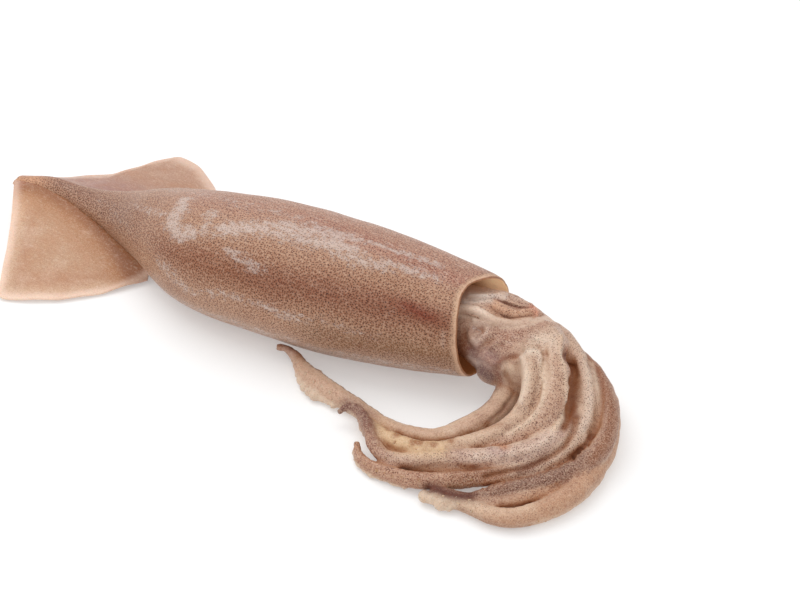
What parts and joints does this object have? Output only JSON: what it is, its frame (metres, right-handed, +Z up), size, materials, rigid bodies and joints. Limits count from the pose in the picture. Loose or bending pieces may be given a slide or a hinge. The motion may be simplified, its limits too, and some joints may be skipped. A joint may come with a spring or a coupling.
{
  "type": "whole raw squid",
  "caption": "Whole raw squid lying on its back: finned mantle tube, head with eyes and funnel, arms and tentacles curled back beside the body.",
  "frame": {"origin": "on the ground, under the middle of the object's outline", "axes": "+X along the mantle from the tail to the head, +Y to the far side from the curled arms, +Z up; the funnel side of the squid faces up"},
  "size_m": [0.3362, 0.151, 0.0564],
  "materials": {
    "mantle_skin": "wet raw skin, tan and reddish brown with dense dark dots and milky patches, semi-gloss",
    "head_skin": "wet raw skin, cream and tan with dark dots, purple-brown at the eyes and tips, glossy",
    "funnel_skin": "wet raw skin, brown with dark dots, pale rim, glossy"
  },
  "bodies": {
    "root": {"mantle": "mantle_skin", "head": "head_skin", "funnel": "funnel_skin"}
  },
  "joints": []
}
